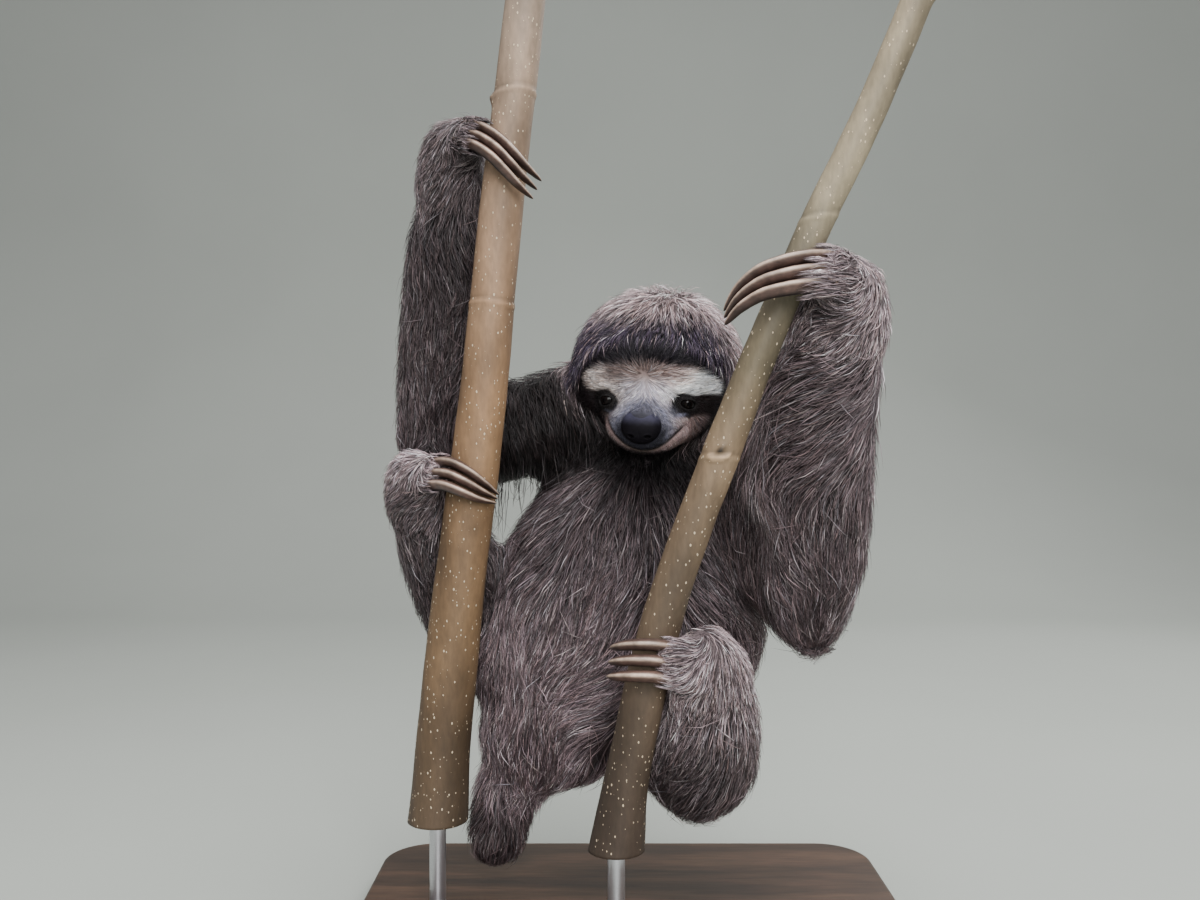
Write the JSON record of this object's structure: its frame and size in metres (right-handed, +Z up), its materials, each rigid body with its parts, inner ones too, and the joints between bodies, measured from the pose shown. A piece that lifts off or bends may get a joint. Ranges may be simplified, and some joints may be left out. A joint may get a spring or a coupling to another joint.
{
  "type": "brown-throated three-toed sloth",
  "caption": "Life-size three-toed sloth clinging to two cut stems with hooked claws, on a low display stand.",
  "frame": {"origin": "middle of the stand's underside, on the floor", "axes": "+Z up, along the stems; the sloth faces -Y, its right side towards -X"},
  "size_m": [0.34, 0.284, 0.556],
  "materials": {
    "coat": "long, coarse, matt grey-brown hair with paler strands",
    "nose": "bare, finely wrinkled black skin, slightly moist",
    "eyes": "polished dark brown",
    "claws": "smooth grey-brown keratin, paler along the back",
    "stems": "smooth thin bark with pale raised dots and ring scars",
    "stand_wood": "dark stained, satin",
    "stand_metal": "satin"
  },
  "bodies": {
    "root": {"head": "coat", "eye_right": "eyes", "eye_left": "eyes", "nose": "nose", "trunk": "coat", "neck": "coat", "tail": "coat", "thigh_right": "coat", "lower_leg_right": "coat", "foot_right": "coat", "thigh_left": "coat", "lower_leg_left": "coat", "foot_left": "coat", "upper_arm_right": "coat", "forearm_right": "coat", "hand_right": "coat", "upper_arm_left": "coat", "forearm_left": "coat", "hand_left": "coat", "claw_hand_right_1": "claws", "claw_hand_right_2": "claws", "claw_hand_right_3": "claws", "claw_hand_left_1": "claws", "claw_hand_left_2": "claws", "claw_hand_left_3": "claws", "claw_foot_right_1": "claws", "claw_foot_right_2": "claws", "claw_foot_right_3": "claws", "claw_foot_left_1": "claws", "claw_foot_left_2": "claws", "claw_foot_left_3": "claws", "stem_right": "stems", "stand_rod_right": "stand_metal", "stand_collar_right": "stand_metal", "stem_left": "stems", "stand_rod_left": "stand_metal", "stand_collar_left": "stand_metal", "stand_base": "stand_wood"}
  },
  "joints": []
}
